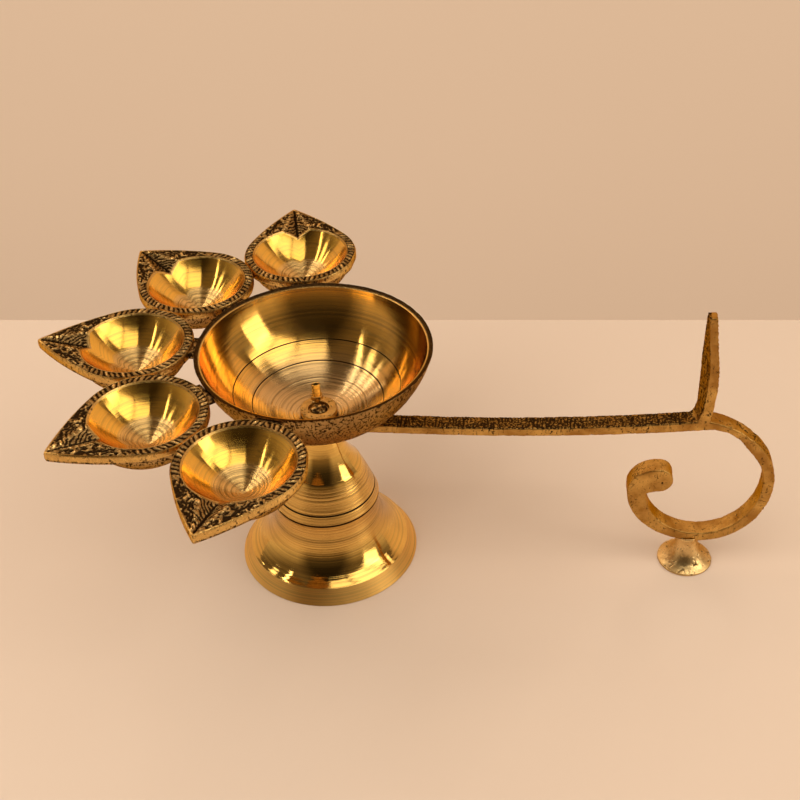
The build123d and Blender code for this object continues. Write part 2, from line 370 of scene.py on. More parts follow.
bell_finish = turned_brass(
    "turned_bell", polished_colour=BRASS, satin_colour=(0.86, 0.53, 0.15),
    polished_rough=0.05, satin_rough=0.20, ring_strength=0.7
)
band_finish = turned_brass(
    "turned_band", polished_colour=BAND_BRASS, satin_colour=BAND_BRASS,
    polished_rough=0.52, satin_rough=0.56, ring_strength=0.5
)
bowl_finish = turned_brass(
    "turned_bowl", polished_colour=(0.90, 0.52, 0.11), satin_colour=(0.68, 0.46, 0.21),
    polished_rough=0.10, satin_rough=0.17, ring_strength=0.4
)
hollow_finish = turned_brass(
    "turned_hollow", polished_colour=(0.96, 0.56, 0.10), satin_colour=(0.82, 0.54, 0.20),
    polished_rough=0.12, satin_rough=0.24, ring_strength=0.4
)
print("turned finishes:", bell_finish.name, band_finish.name, bowl_finish.name, hollow_finish.name)


# %% Cast and filed brass
# The dark oxide is also the colour of the painted shadow at the wick holder's foot.
DARK_OXIDE_AND_SHADOW = (0.040, 0.023, 0.010)
BROWN_OXIDE = (0.16, 0.092, 0.036)
GRAZING_TINT = (0.72, 0.46, 0.20, 1.0)
GRAINS_IN_CLOUD = 9
OXIDE_ROUGHER = 0.25
WEAR_SMOOTHER = 0.10
GRAIN_DEPTH_MM = 0.20
GRAIN_STRENGTH = 0.45
FILE_MARK_MM = 0.9
FILE_MARK_SHARE = 0.32
FILE_MARK_STRETCH = (1.0, 1.0, 0.12)
STROKE_MM = 2.2
STROKE_STRETCH = (1.6, 1.0, 0.6)


def cast_brass(name, worn, body, oxide, grain_mm, rough, blotch, strokes=0.0):
    """Brass from the mould. Stored wear shows the worn colour; stored darkness, which at the wick holder's
    foot is painted shadow, and file strokes show the oxide.
    """
    material, tree, shader = new_metal(name)
    place = object_place(tree)
    grain = noise_value(tree, place, 1 / (grain_mm * MM), 5.0)
    cloud = noise_value(tree, place, 1 / (GRAINS_IN_CLOUD * grain_mm * MM), 3.0)
    wear = stored_value(tree, "wear")
    grime_and_shade = stored_value(tree, "grime_and_shade")
    colour = mixed_colour(tree, remapped(tree, cloud, 0.35, 0.68, 0.0, blotch), body, worn)
    bright = math_value(tree, "ADD", wear, remapped(tree, grain, 0.3, 0.7, -0.25, 0.25))
    colour = mixed_colour(tree, remapped(tree, bright, 0.25, 0.8, 0.0, 1.0), colour, worn)
    # The stored darkness pulls the colour to the oxide: real oxide in most places, painted shadow at the
    # wick holder's foot.
    darkening = math_value(tree, "ADD", grime_and_shade, remapped(tree, grain, 0.35, 0.75, -0.28, 0.3))
    darkening = math_value(tree, "ADD", darkening, remapped(tree, cloud, 0.3, 0.7, -0.12, 0.12))
    contour = noise_value(tree, stretched(tree, place, STROKE_STRETCH), 1 / (STROKE_MM * MM), 2.0)
    off_line = math_value(tree, "ABSOLUTE", math_value(tree, "SUBTRACT", contour, 0.5), 0.0)
    line = remapped(tree, off_line, 0.015, 0.075, strokes, 0.0)
    stroke = math_value(tree, "MULTIPLY", line, remapped(tree, grain, 0.36, 0.54, 0.0, 1.0))
    darkening = math_value(tree, "ADD", darkening, stroke)
    marks = noise_value(tree, stretched(tree, place, FILE_MARK_STRETCH), 1 / (FILE_MARK_MM * MM), 3.0)
    darkening = math_value(tree, "ADD", darkening, remapped(tree, marks, 0.45, 0.75, 0.0, FILE_MARK_SHARE))
    dark = remapped(tree, darkening, 0.25, 0.75, 0.0, 1.0)
    colour = mixed_colour(tree, dark, colour, oxide)
    tree.links.new(colour, shader.inputs["Base Color"])
    shader.inputs["Specular Tint"].default_value = GRAZING_TINT
    rough_in_oxide = remapped(tree, dark, 0.0, 1.0, rough, rough + OXIDE_ROUGHER)
    rubbed_smooth = remapped(tree, bright, 0.3, 0.9, 0.0, -WEAR_SMOOTHER)
    rough_here = math_value(tree, "ADD", rough_in_oxide, rubbed_smooth)
    tree.links.new(rough_here, shader.inputs["Roughness"])
    skin_height = math_value(tree, "SUBTRACT", grain, stroke)
    bump(tree, shader, skin_height, GRAIN_DEPTH_MM, GRAIN_STRENGTH)
    return material


# %% [markdown]
# The castings share that one finish and differ in colour and grain. The worn colour is where hands and
# polishing cloths reach, the body colour is the cast skin, and the oxide fills what lies deep. At the foot
# of the wick holder the oxide colour is painted shadow. Blotch says how patchy the skin is, and strokes
# how many file marks it shows.

# %% Finishes of the castings
leaf_finish = cast_brass(
    "antique_leaf", worn=(0.90, 0.60, 0.23), body=(0.29, 0.17, 0.060), oxide=DARK_OXIDE_AND_SHADOW,
    grain_mm=0.55, rough=0.34, blotch=0.2
)
rim_finish = cast_brass(
    "dark_rim", worn=(0.60, 0.38, 0.14), body=(0.10, 0.058, 0.022), oxide=DARK_OXIDE_AND_SHADOW,
    grain_mm=0.7, rough=0.34, blotch=0.15
)
edge_finish = cast_brass(
    "filed_edge", worn=(0.84, 0.54, 0.17), body=(0.60, 0.36, 0.11), oxide=BROWN_OXIDE,
    grain_mm=1.1, rough=0.28, blotch=0.8, strokes=0.35
)
under_finish = cast_brass(
    "cast_underside", worn=(0.60, 0.39, 0.16), body=(0.36, 0.215, 0.085), oxide=DARK_OXIDE_AND_SHADOW,
    grain_mm=1.0, rough=0.38, blotch=0.7, strokes=1.0
)
handle_finish = cast_brass(
    "cast_handle", worn=(0.88, 0.55, 0.16), body=(0.38, 0.19, 0.042), oxide=DARK_OXIDE_AND_SHADOW,
    grain_mm=0.8, rough=0.29, blotch=0.6, strokes=0.28
)
foot_finish = cast_brass(
    "cast_foot", worn=(0.92, 0.66, 0.30), body=(0.56, 0.35, 0.13), oxide=BROWN_OXIDE,
    grain_mm=0.9, rough=0.34, blotch=0.9, strokes=0.2
)
holder_finish = cast_brass(
    "cast_holder", worn=(0.84, 0.56, 0.20), body=(0.50, 0.31, 0.11), oxide=DARK_OXIDE_AND_SHADOW,
    grain_mm=0.3, rough=0.33, blotch=0.8
)
fitting_finish = cast_brass(
    "peened_fitting", worn=(0.80, 0.56, 0.24), body=(0.13, 0.08, 0.03), oxide=DARK_OXIDE_AND_SHADOW,
    grain_mm=0.35, rough=0.34, blotch=0.3
)
print("finishes:", len(bpy.data.materials))


# %% [markdown]
# ## The pedestal
#
# The bell foot is turned inside and out. Its outline climbs from a crisp conical band through a hollow
# flare to a waist with two scribed lines, then over a plain shoulder and a trumpet-like cove to the
# neck. The cove and the lower flare were buffed, and the middle was left as the tool cut it, so a
# stored value says how satin each ring is. The neck is bored for the stud.

# %% Pedestal outline
pedestal_high = box_in_mm("pedestal")[1]
base_radius = pedestal_high.x
pedestal_top = pedestal_high.z
band_top = (base_radius - 3.6, 6.0)
waist = (21.7, 29.7)
shoulder = (15.4, 45.6)
neck_height = 3.6
neck_root = (8.0, pedestal_top - neck_height)
bore_radius = 3.05
cavity_top = (7.0, 44.0)
inner_waist = (18.5, waist[1])
ring_inside = (base_radius - 3.4, 0.0)
edge_break = 0.3
line_gap = 3.9
second_line_radius = waist[0] - 1.3
line_half_width = 0.36
line_depth = 0.45
flare_hollow = 4.2
shoulder_swell = 0.2
cove_hollow = 1.3

flare = arc(band_top, waist, flare_hollow, count=46)
plain_shoulder = arc(waist, shoulder, -shoulder_swell, count=400)
shoulder_run = plain_shoulder[9::10]
second_line = nearest(shoulder_run, second_line_radius, waist[1] + line_gap)
shoulder_run = notched(shoulder_run, second_line, line_half_width, line_depth)
outside = notched(flare + shoulder_run, len(flare) - 1, line_half_width, line_depth)
pedestal_outline = [Vector((bore_radius, cavity_top[1])), Vector(cavity_top), Vector(inner_waist)]
pedestal_outline += arc(inner_waist, ring_inside, -flare_hollow, count=20)
pedestal_outline += [
    Vector((base_radius - edge_break, 0)),
    Vector((base_radius, edge_break)),
    Vector((band_top[0] + edge_break * 0.55, band_top[1] - edge_break)),
    Vector((band_top[0] - edge_break * 0.4, band_top[1] + edge_break * 0.3)),
]
pedestal_outline += outside[1:]
pedestal_outline += arc(shoulder, neck_root, cove_hollow, count=24)
pedestal_outline += [
    Vector((neck_root[0], pedestal_top - edge_break)),
    Vector((neck_root[0] - edge_break, pedestal_top)),
    Vector((bore_radius, pedestal_top)),
    Vector((bore_radius, cavity_top[1])),
]
print("pedestal outline:", len(pedestal_outline), "points up to", round(pedestal_top, 1), "mm")


# %% Pedestal
BELL_STEPS = 288
BAND_SATIN = 0.75
buffed_up_to = 11
satin_from = 24
cove_fade = 3


def bell_line_depth(point):
    """How deep a point of the outline lies in one of the scribed lines."""
    if not waist[1] - 1 < point.y < waist[1] + line_gap + 1:
        return 0.0
    return min((point - here).length for here in flare[-4:] + plain_shoulder)


def bell_satin(height):
    """How satin the bell is: the band and the shoulder are satin, the flare and the cove polished."""
    band = 1 - smoothstep(band_top[1] - 0.2, band_top[1] + 0.6, height)
    below_cove = 1 - smoothstep(shoulder[1] - cove_fade, shoulder[1], height)
    middle = smoothstep(buffed_up_to, satin_from, height) * below_cove
    return max(BAND_SATIN * band, middle)


pedestal = spin_outline("pedestal_turned", pedestal_outline, BELL_STEPS)
pedestal_rows = rows_of(pedestal, pedestal_outline)
map_turning(pedestal, pedestal_outline, pedestal_rows, bearings_of(pedestal))
store(pedestal, "satin", [bell_satin(pedestal_outline[row].y) for row in pedestal_rows])
store(pedestal, "wear", [0.0] * len(pedestal_rows))
store(pedestal, "grime_and_shade", [1.0] * len(pedestal_rows))


def pedestal_material(face):
    """The scribed lines hold oxide, the band is brushed and the rest is turned."""
    rows = [pedestal_rows[vertex] for vertex in face.vertices]
    if max(bell_line_depth(pedestal_outline[row]) for row in rows) > line_depth / 2:
        return 1
    heights = [pedestal_outline[row].y for row in rows]
    on_band = max(heights) < band_top[1] + edge_break and min(heights) > edge_break / 2
    return 2 if on_band else 0


finish_faces(pedestal, [bell_finish, rim_finish, band_finish], pedestal_material)
place_in_lamp(pedestal, "pedestal", "pedestal")


# %% [markdown]
# ## The bowl
#
# The bowl is cast, and then only its inside is turned bright, with two scribed circles. The rim keeps a
# dark band that slopes inwards to a thin bright lip, and the outside keeps the skin of the mould. One
# outline gives all three, and the rows of the mesh say which finish a face takes.

# %% Bowl outline
bowl_low, bowl_high = box_in_mm("bowl")
rim_height = bowl_high.z
seat_height = bowl_low.z
rim_radius = bowl_high.x
bowl_wall = 2.0
rim_slope = 1.0
seat_gap = 0.5
bowl_bore = 3.1
lip_width = 0.45
circle_radii = (32.3, 25.8)
circle_half_width = 0.25
circle_depth = 0.28
sphere_depth = rim_height - seat_height + seat_gap
sphere_radius = (rim_radius**2 + sphere_depth**2) / (2 * sphere_depth)
sphere_height = rim_height - sphere_depth + sphere_radius
inner_radius = sphere_radius - bowl_wall


def on_sphere(radius_of_sphere, height):
    return Vector((math.sqrt(radius_of_sphere**2 - (height - sphere_height) ** 2), height))


def sphere_run(radius_of_sphere, start, end, count):
    """Points after start on the bowl's sphere, spaced evenly by angle."""
    first = math.asin((start.y - sphere_height) / radius_of_sphere)
    last = math.asin((end.y - sphere_height) / radius_of_sphere)
    points = []
    for step in range(1, count + 1):
        turn = mix(first, last, step / count)
        out = Vector((math.cos(turn), math.sin(turn)))
        points.append(out * radius_of_sphere + Vector((0, sphere_height)))
    return points


seat_edge = on_sphere(sphere_radius, seat_height)
rim_outer = Vector((rim_radius, rim_height))
rim_inner = on_sphere(inner_radius, rim_height - rim_slope)
rim_run = (rim_inner - rim_outer).normalized()
floor_height = sphere_height - math.sqrt(inner_radius**2 - bowl_bore**2)
outer_run = sphere_run(sphere_radius, seat_edge, rim_outer, count=70)
floor_edge = Vector((bowl_bore, floor_height))
inner_run = sphere_run(inner_radius, rim_inner, floor_edge, count=90)
for circle_radius in circle_radii:
    circle_height = sphere_height - math.sqrt(inner_radius**2 - circle_radius**2)
    circle = nearest(inner_run, circle_radius, circle_height)
    inner_run = notched(inner_run, circle, circle_half_width, circle_depth)
bowl_outline = [Vector((bowl_bore, seat_height)), seat_edge] + outer_run[:-1]
bowl_outline += [rim_outer - Vector((0.1, 0.5)), rim_outer + rim_run * 0.3]
rim_start_row = len(bowl_outline) - 1
bowl_outline += [rim_outer.lerp(rim_inner, share) for share in (0.35, 0.6)]
bowl_outline += [rim_inner - rim_run * lip_width, rim_inner]
lip_row = len(bowl_outline) - 2
bowl_outline += inner_run
bowl_outline += [Vector((bowl_bore, seat_height))]
print("bowl outline:", len(bowl_outline), "points on a sphere of", round(sphere_radius, 1), "mm")


# %% [markdown]
# The mould left the bowl's outside rough, with curved dark file strokes. Each point of those rings is
# pushed in along its normal by a noise, and what was pushed in most is stored as grime, so that colour
# and shape agree.


# %% Carving a surface
def carve(piece, depth_at):
    """Pushes each vertex into the metal by depth_at(place, normal) millimetres and returns those depths."""
    depths = []
    moves = []
    for vertex in piece.data.vertices:
        depth = depth_at(vertex.co / MM, vertex.normal)
        depths.append(depth)
        moves.append(vertex.normal * depth * MM)
    for vertex, move in zip(piece.data.vertices, moves):
        vertex.co -= move
    piece.data.update()
    return depths


def lumps(place, size_mm, octaves=3):
    """A soft noise from about -1 to 1 with lumps of the given size."""
    return noise.fractal(place / size_mm, 1.0, 2.0, octaves)


# %% Bowl
BOWL_STEPS = 320
skin_depth = 0.10
skin_margin = 0.25
seat_margin = 0.6
stroke_depth = 0.24
stroke_pitch = 1.5
stroke_warp = 2.2
stroke_rise = 0.75
stroke_swirl = 9
bowl = spin_outline("bowl_turned", bowl_outline, BOWL_STEPS)
bowl_rows = rows_of(bowl, bowl_outline)


def file_strokes(place):
    """Dark strokes of the file: thin lines across a warped direction."""
    warp = lumps(place, 9.0, 2) * stroke_warp
    across = place.z * stroke_rise + math.atan2(place.y, place.x) * stroke_swirl + warp
    line = abs((across / stroke_pitch) % 1.0 - 0.5) * 2
    return smoothstep(0.72, 0.98, line) * smoothstep(-0.1, 0.35, lumps(place, 4.0, 2))


def bowl_skin(place, normal):
    centre_distance = (place - Vector((0, 0, sphere_height))).length
    if centre_distance < sphere_radius - skin_margin or place.z < seat_height + seat_margin:
        return 0.0
    return skin_depth + skin_depth * lumps(place, 2.2) + stroke_depth * file_strokes(place)


bowl_depths = carve(bowl, bowl_skin)
map_turning(bowl, bowl_outline, bowl_rows, bearings_of(bowl))


# %% Finish of the bowl
RIM_GRIME = 0.70
dull_up_to = 20
buffed_from = 34


def bowl_satin(row):
    """The bowl is buffed near the rim and dull on its floor."""
    return 1 - smoothstep(dull_up_to, buffed_from, bowl_outline[row].x)


def in_circle(row):
    """Whether a row of the outline lies in one of the scribed circles."""
    point = bowl_outline[row]
    cut = (point - Vector((0, sphere_height))).length - inner_radius
    return row > lip_row + 1 and point.x > circle_radii[-1] - 1 and cut > circle_depth / 2


bowl_wear = []
bowl_grime = []
for row, depth in zip(bowl_rows, bowl_depths):
    oxidised = rim_start_row <= row < lip_row or in_circle(row)
    bowl_wear.append(0.0 if oxidised else smoothstep(0.12, 0.0, depth) * 0.6)
    bowl_grime.append(RIM_GRIME if oxidised else smoothstep(0.10, 0.34, depth) * 0.8)
store(bowl, "satin", [bowl_satin(row) for row in bowl_rows])
store(bowl, "wear", bowl_wear)
store(bowl, "grime_and_shade", bowl_grime)


def bowl_material(face):
    """The skin outside, the dark rim and circles, the bright lip, and the turned inside."""
    rows = sorted(bowl_rows[vertex] for vertex in face.vertices)
    row = rows[1]
    if row < rim_start_row:
        return 0
    if row < lip_row or any(in_circle(each) for each in rows):
        return 1
    return 3 if row > lip_row else 2


finish_faces(bowl, [under_finish, rim_finish, edge_finish, bowl_finish], bowl_material)
place_in_lamp(bowl, "bowl", "bowl")


# %% [markdown]
# ## The leaf cups
#
# Each cup is a casting in the shape of a pointed leaf, with a round hollow turned into it, a valley
# that runs from the hollow to the tip, and old foliage relief on the face. It could be carved from a
# block with Booleans, but the hollow needs clean rings for its finish. So the cup is spun as a plain
# round dish, whose rings then are pulled out to the leaf's outline. Rings of the hollow stay round,
# rings of the face follow the leaf, and the relief is carved between them.

# %% Leaf outline
cup_circle = 70.2
cup_spacing = math.radians(38.6)
leaf_radius = 23.5
leaf_reach = 37.8
leaf_blend = math.radians(60)
tip_radius = 0.8
plate_thickness = 3.8
hollow_radius = 19.7
hollow_depth = 14.2
hollow_belly = Vector((12.3, -10.5))
under_radius = 20.8
under_depth = 17.6
valley_depth = 3.0
valley_slope = 1.9
braze_gap = 0.02

blend_point = Vector((math.cos(leaf_blend), math.sin(leaf_blend))) * leaf_radius
to_tip = Vector((leaf_reach, 0)) - blend_point
side_radius = -to_tip.length_squared / (2 * to_tip.dot(blend_point.normalized()))
side_centre = blend_point - blend_point.normalized() * side_radius
tip_slope = math.atan2(leaf_reach - side_centre.x, -side_centre.y)
tip_centre = leaf_reach - tip_radius / math.sin(math.pi / 2 - tip_slope)
tip_half_angle = math.atan2(tip_radius * math.sin(tip_slope), tip_centre + tip_radius * math.cos(tip_slope))
seam_distance = cup_circle * math.sin(cup_spacing / 2) - braze_gap
seam_bearing = math.pi / 2 + cup_spacing / 2


def circle_from_origin(centre, radius, bearing):
    """How far a ray from the origin runs at a bearing until it leaves a circle."""
    towards = centre.x * math.cos(bearing) + centre.y * math.sin(bearing)
    return towards + math.sqrt(radius**2 - centre.length_squared + towards**2)


def leaf_edge(bearing):
    """Distance from the hollow's axis to the leaf's outline at a bearing from the tip."""
    side = abs(bearing)
    if side < tip_half_angle:
        reach = circle_from_origin(Vector((tip_centre, 0)), tip_radius, side)
    elif side < leaf_blend:
        reach = circle_from_origin(side_centre, side_radius, side)
    else:
        reach = leaf_radius
    towards_seam = math.cos(side - seam_bearing)
    if towards_seam > 0.5:
        reach = min(reach, seam_distance / towards_seam)
    return reach


print("leaf side radius", round(side_radius, 1), "mm, tip at", round(leaf_edge(0), 2), "mm")


# %% Hollow and valley
def hollow_point(share):
    """Radius and height on the hollow's curve, from 0 at its edge to 1 at its centre."""
    edge_part = (1 - share) ** 2
    belly_part = 2 * share * (1 - share)
    return (
        edge_part * hollow_radius + belly_part * hollow_belly.x,
        belly_part * hollow_belly.y - share**2 * hollow_depth,
    )


def valley_width(along):
    return max(0.0, valley_slope * valley_depth * (leaf_reach - along) / (leaf_reach - hollow_radius))


def valley_height(along, across):
    if along < 0:
        return 0.0
    return -max(0.0, valley_width(along) - abs(across)) / valley_slope


def hollow_edge(bearing):
    """Where the hollow meets the face: its share on the curve, pulled down where the valley runs in."""
    low = 0.0
    high = 0.5
    for _ in range(24):
        middle = (low + high) / 2
        radius, height = hollow_point(middle)
        if height > valley_height(radius * math.cos(bearing), radius * math.sin(bearing)):
            low = middle
        else:
            high = middle
    return low


# %% [markdown]
# The relief copies what the old patterns have in common: a rope of slanted strokes round the hollow,
# veins like fish bones down the valley, a row of twisted beads on each of its shoulders, hatching
# towards the tip and a plain raised border. Each is a height in millimetres, worked out from the place
# on the face.


# %% Relief of the leaf's face
ROPE_STROKES = 62
ROPE_HEIGHT = 0.50
ROPE_UNEVEN = 0.36
ROPE_START = math.radians(44)
ROPE_FULL = math.radians(64)
HATCH_PITCH = 1.9
HATCH_HEIGHT = 0.34
NUB_HEIGHT = 0.42
VEIN_PITCH = 1.9
VEIN_HEIGHT = 0.50
BEAD_PITCH = 2.3
BEAD_RADIUS = 1.05
BEAD_HEIGHT = 0.80
GRAIN_HEIGHT = 0.20
FINE_GRAIN_HEIGHT = 0.12
FACE_DROP = 0.48


def ridge(phase, power):
    """1 on a ridge and 0 in the gap between two, with flat ridges where power is high."""
    return 1 - abs(2 * (phase % 1.0) - 1) ** power


def leaf_relief(along, across, bearing, share):
    """Height of the relief: share runs from 0 at the border to 1 at the hollow."""
    place = Vector((along, across, 0))
    side = math.copysign(1, across)
    wobble = lumps(place, 3.5, 2)
    rope_phase = ROPE_STROKES * bearing / math.tau + side * 0.7 * (share - 0.5) + 0.22 * wobble
    strength = 0.5 + 0.5 * noise.cell(Vector((math.floor(rope_phase) * 1.7, side * 3.1, 0.5)))
    stroke_end = 1 - abs(2 * share - 1) ** 5
    rope = (ROPE_HEIGHT + ROPE_UNEVEN * strength) * ridge(rope_phase, 1.5) * stroke_end
    hatch = HATCH_HEIGHT * ridge((0.9 * abs(across) + 0.45 * along) / HATCH_PITCH + 1.1 * wobble, 1.6)
    hatch += NUB_HEIGHT * smoothstep(0.05, 0.5, lumps(place + Vector((0, 0, 9)), 1.7, 2))
    width = valley_width(along)
    veins = VEIN_HEIGHT * ridge((along + 1.15 * abs(across)) / VEIN_PITCH + 0.7 * wobble, 1.6)
    veins *= smoothstep(0.15, 0.6, abs(across))
    in_valley = smoothstep(0.3, -0.5, abs(across) - width) if along > 0 else 0.0
    round_part = smoothstep(ROPE_START, ROPE_FULL, abs(bearing))
    height = mix(mix(hatch, veins, in_valley), rope, round_part)
    if along > 0 and width > 0.8:
        bead_along = (((along + 0.9 * wobble) / BEAD_PITCH) % 1.0 - 0.5) * BEAD_PITCH
        bead_across = abs(across) - width + 0.5 * bead_along + 0.7 * wobble
        bead = 1 - (bead_along**2 + bead_across**2) / BEAD_RADIUS**2
        height = max(height, (BEAD_HEIGHT + 0.25 * wobble) * math.sqrt(max(0.0, bead)))
    height += GRAIN_HEIGHT * lumps(place, 1.1) + FINE_GRAIN_HEIGHT * lumps(place, 0.5, 2) - FACE_DROP
    inside = smoothstep(0.03, 0.09, share) * (1 - smoothstep(0.90, 0.97, share))
    return height * inside


# %% Rings of the cup
UNDER, PLATE, WALL, FACE, HOLLOW = range(5)
edge_round = 0.3
ring_plan = [(UNDER, 12), (PLATE, 3), (WALL, 5), (FACE, 46), (HOLLOW, 34)]
cup_rings = [(UNDER, 0.0)]
for zone, count in ring_plan:
    cup_rings += [(zone, step / count) for step in range(1, count + 1)]


def cup_point(zone, share, bearing, edges):
    """Radius and height of a ring of the cup at a bearing from the leaf's tip."""
    leaf_out, hollow_share = edges
    if zone == UNDER:
        turn = share * math.pi / 2
        drop = (under_depth - plate_thickness) * math.cos(turn)
        return under_radius * math.sin(turn), -plate_thickness - drop
    if zone == PLATE:
        return mix(under_radius, leaf_out - edge_round, share), -plate_thickness
    if zone == WALL:
        inset = edge_round * max(0.0, abs(2 * share - 1) * 2.5 - 1.5)
        return leaf_out - inset, mix(edge_round - plate_thickness, -edge_round * 0.6, share)
    edge_radius, edge_height = hollow_point(hollow_share)
    if zone == FACE:
        radius = mix(leaf_out - edge_round, edge_radius + 0.12, share)
        along = radius * math.cos(bearing)
        across = radius * math.sin(bearing)
        floor = mix(valley_height(along, across), edge_height, smoothstep(0.97, 1.0, share))
        return radius, floor + leaf_relief(along, across, bearing, share)
    return hollow_point(mix(hollow_share, 1.0, share))


round_bearing = math.pi
round_edges = (leaf_edge(round_bearing), hollow_edge(round_bearing))
plain_face = {number: share for number, (zone, share) in enumerate(cup_rings) if zone == FACE}
cup_outline = []
for number, (zone, share) in enumerate(cup_rings):
    radius, height = cup_point(zone, share, round_bearing, round_edges)
    if number in plain_face:
        height = 0.0
    cup_outline.append(Vector((radius, height)))
print("cup outline:", len(cup_outline), "rings")


# %% [markdown]
# The dish is spun in many steps. The tip needs more of them than the round side, so each step's bearing
# is drawn towards the tip before its rings are pulled out to the leaf.

# %% First cup, at the origin
CUP_STEPS = 640
TIP_CROWDING = 0.45
cup = spin_outline("leaf_cup", cup_outline, CUP_STEPS)
cup_rows = rows_of(cup, cup_outline)
cup_bearings = []
cup_wear = []
cup_grime = []
edge_cache = {}
for vertex, row in zip(cup.data.vertices, cup_rows):
    spun = math.atan2(vertex.co.y, vertex.co.x)
    bearing = spun - TIP_CROWDING * math.sin(spun)
    key = round(bearing, 5)
    if key not in edge_cache:
        edge_cache[key] = (leaf_edge(bearing), hollow_edge(bearing))
    zone, share = cup_rings[row]
    radius, height = cup_point(zone, share, bearing, edge_cache[key])
    vertex.co = Vector((radius * math.cos(bearing), radius * math.sin(bearing), height)) * MM
    cup_bearings.append(bearing)
    relief = 0.0
    if zone == FACE:
        relief = height - valley_height(radius * math.cos(bearing), radius * math.sin(bearing))
    skin = lumps(vertex.co / MM, 2.0)
    cup_wear.append(smoothstep(0.0, 0.40, relief) if zone == FACE else 0.35 + 0.3 * skin)
    cup_grime.append(smoothstep(0.02, -0.30, relief) if zone == FACE else smoothstep(0.15, 0.7, skin) * 0.6)
cup.data.update()
map_turning(cup, cup_outline, cup_rows, cup_bearings)
print("leaf pulled out in", len(edge_cache), "bearings")


# %% Finish of the cup
BORDER_SHARE = 0.04
LIP_SHARE = 0.965
store(cup, "wear", cup_wear)
store(cup, "grime_and_shade", cup_grime)
cup_satin = []
for row in cup_rows:
    zone, share = cup_rings[row]
    cup_satin.append(smoothstep(0.50, 0.58, share) if zone == HOLLOW else 0.0)
store(cup, "satin", cup_satin)


def cup_material(face):
    """The cast face, its filed border and lip, the underside, and the turned hollow."""
    row = sorted(cup_rows[vertex] for vertex in face.vertices)[1]
    zone, share = cup_rings[row]
    if zone in (UNDER, PLATE):
        return 2
    on_border = zone == FACE and not BORDER_SHARE <= share <= LIP_SHARE
    if zone == WALL or on_border:
        return 1
    return 0 if zone == FACE else 3


finish_faces(cup, [leaf_finish, edge_finish, under_finish, hollow_finish], cup_material)


# %% [markdown]
# A short lug joins each leaf to the bowl below the rim. It is a cube, scaled to the lug, with its end
# pulled to the slope of the bowl and its edges bevelled, and it is joined to the cup before the cup is
# copied.

# %% Lug of the cup
lug_width = 11.0
lug_height = 2.6
lug_drop = 1.0
lug_bevel = 0.5
lug_start = -leaf_radius + 4
lug_end_high = on_sphere(sphere_radius, rim_height - lug_drop).x - cup_circle
lug_end_low = on_sphere(sphere_radius, rim_height - lug_drop - lug_height).x - cup_circle
bpy.ops.object.select_all(action="DESELECT")
bpy.ops.mesh.primitive_cube_add(size=1)
lug = bpy.context.object
lug.name = "lug"
bpy.ops.object.mode_set(mode="EDIT")
bpy.ops.transform.resize(value=((lug_start - lug_end_high) * MM, lug_width * MM, lug_height * MM))
lug_middle = Vector(((lug_start + lug_end_high) / 2, 0, -lug_drop - lug_height / 2))
bpy.ops.transform.translate(value=lug_middle * MM)
bpy.ops.object.mode_set(mode="OBJECT")
for vertex in lug.data.vertices:
    if vertex.co.x / MM < lug_start - 1 and vertex.co.z / MM < lug_middle.z:
        vertex.co.x = lug_end_low * MM
bpy.ops.object.mode_set(mode="EDIT")
bpy.ops.mesh.select_all(action="SELECT")
bpy.ops.mesh.bevel(offset=lug_bevel * MM, segments=2, affect="EDGES")
bpy.ops.object.mode_set(mode="OBJECT")
lug.data.uv_layers.new(name="turning")
for name, value in (("wear", 0.15), ("grime_and_shade", 0.5), ("satin", 1.0)):
    store(lug, name, [value] * len(lug.data.vertices))
finish_faces(lug, [under_finish], one_finish)
pick(cup)
lug.select_set(True)
bpy.ops.object.join()
print("cup with lug:", len(cup.data.polygons), "faces")


# %% The five cups in their fan
CUP_COUNT = 5
for number in range(1, CUP_COUNT + 1):
    bearing = math.pi + (number - (CUP_COUNT + 1) / 2) * cup_spacing
    outward = Vector((math.cos(bearing), math.sin(bearing), 0))
    centre = outward * cup_circle + Vector((0, 0, rim_height))
    leaf = cup
    if number < CUP_COUNT:
        leaf = cup.copy()
        leaf.data = cup.data.copy()
        scene.collection.objects.link(leaf)
    leaf.name = f"leaf_cup_{number}_cast"
    leaf.data.name = leaf.name
    leaf.data.transform(Matrix.Translation(centre * MM) @ Matrix.Rotation(bearing, 4, "Z"))
    place_in_lamp(leaf, "bowl", f"leaf_cup_{number}")
print("cups placed:", CUP_COUNT)


# %% [markdown]
# ## The handle
#
# The handle is a flat sand casting: arm, thumb rest and scroll in one. A sand casting has soft edges,
# pits and seams, and this one was hammered across the top of its arm. Modelling that by hand would take
# days. So a copy of the solid is merged, given an even skin of small faces with the Remesh modifier,
# softened with Smooth, and then carved. Where Smooth pulled an edge in, the real edge is rubbed bright,
# so that is stored.


# %% Castings from the solids
CASTING_ANGLE = 80


